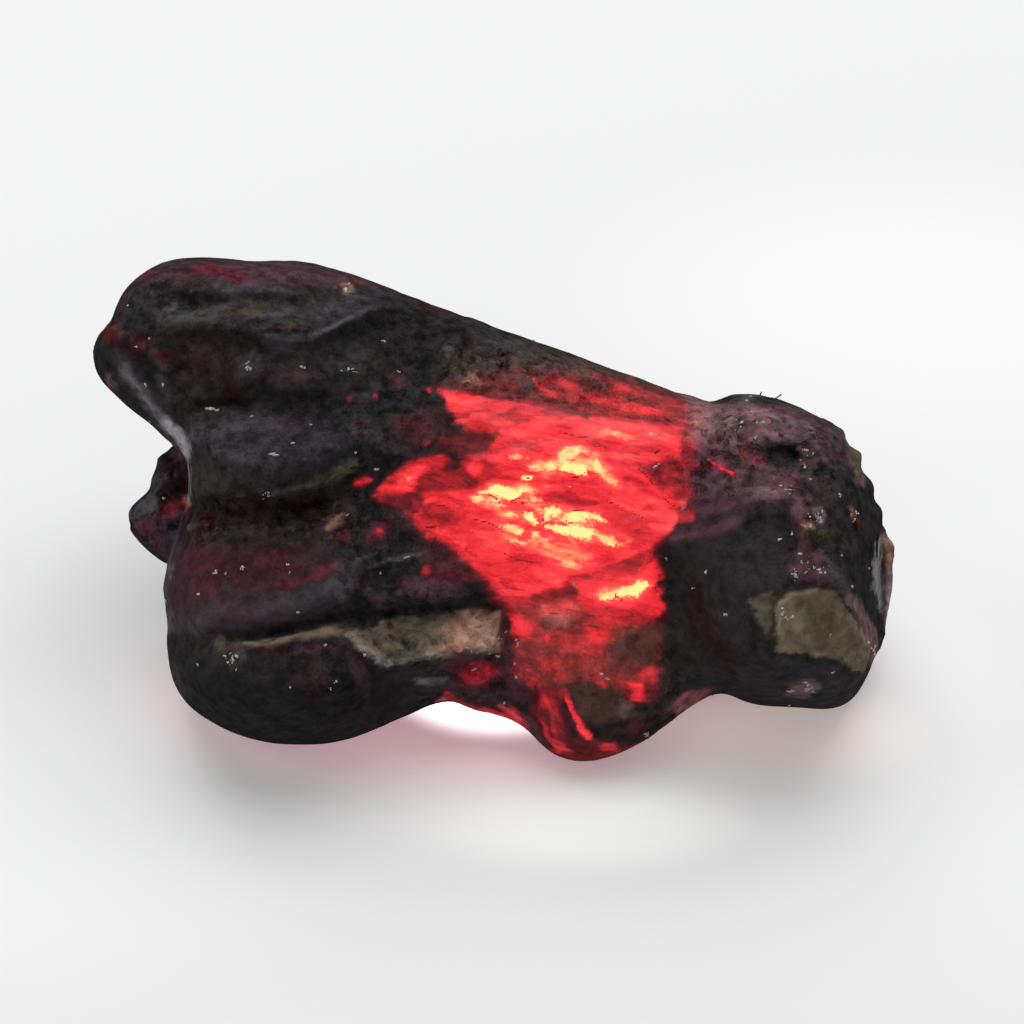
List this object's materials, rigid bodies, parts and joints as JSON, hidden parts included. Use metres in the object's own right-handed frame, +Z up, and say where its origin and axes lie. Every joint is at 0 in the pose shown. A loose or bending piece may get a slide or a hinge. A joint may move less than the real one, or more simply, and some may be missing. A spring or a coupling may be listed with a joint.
{
  "type": "rough ruby crystal",
  "caption": "Rough, water-worn ruby crystal lying on its side: a dark lumpy stone with ledges, a clear red middle and a small side crystal.",
  "frame": {"origin": "centre of the bounding box at its base, on the surface that the crystal lies on", "axes": "+X along the crystal from its head to its blunt end, +Y to the back, +Z up as it rests"},
  "size_m": [0.0242, 0.0142, 0.0119],
  "materials": {
    "ruby": "natural worn crystal skin, glossy"
  },
  "bodies": {
    "root": {"ruby_crystal": "ruby"}
  },
  "joints": []
}
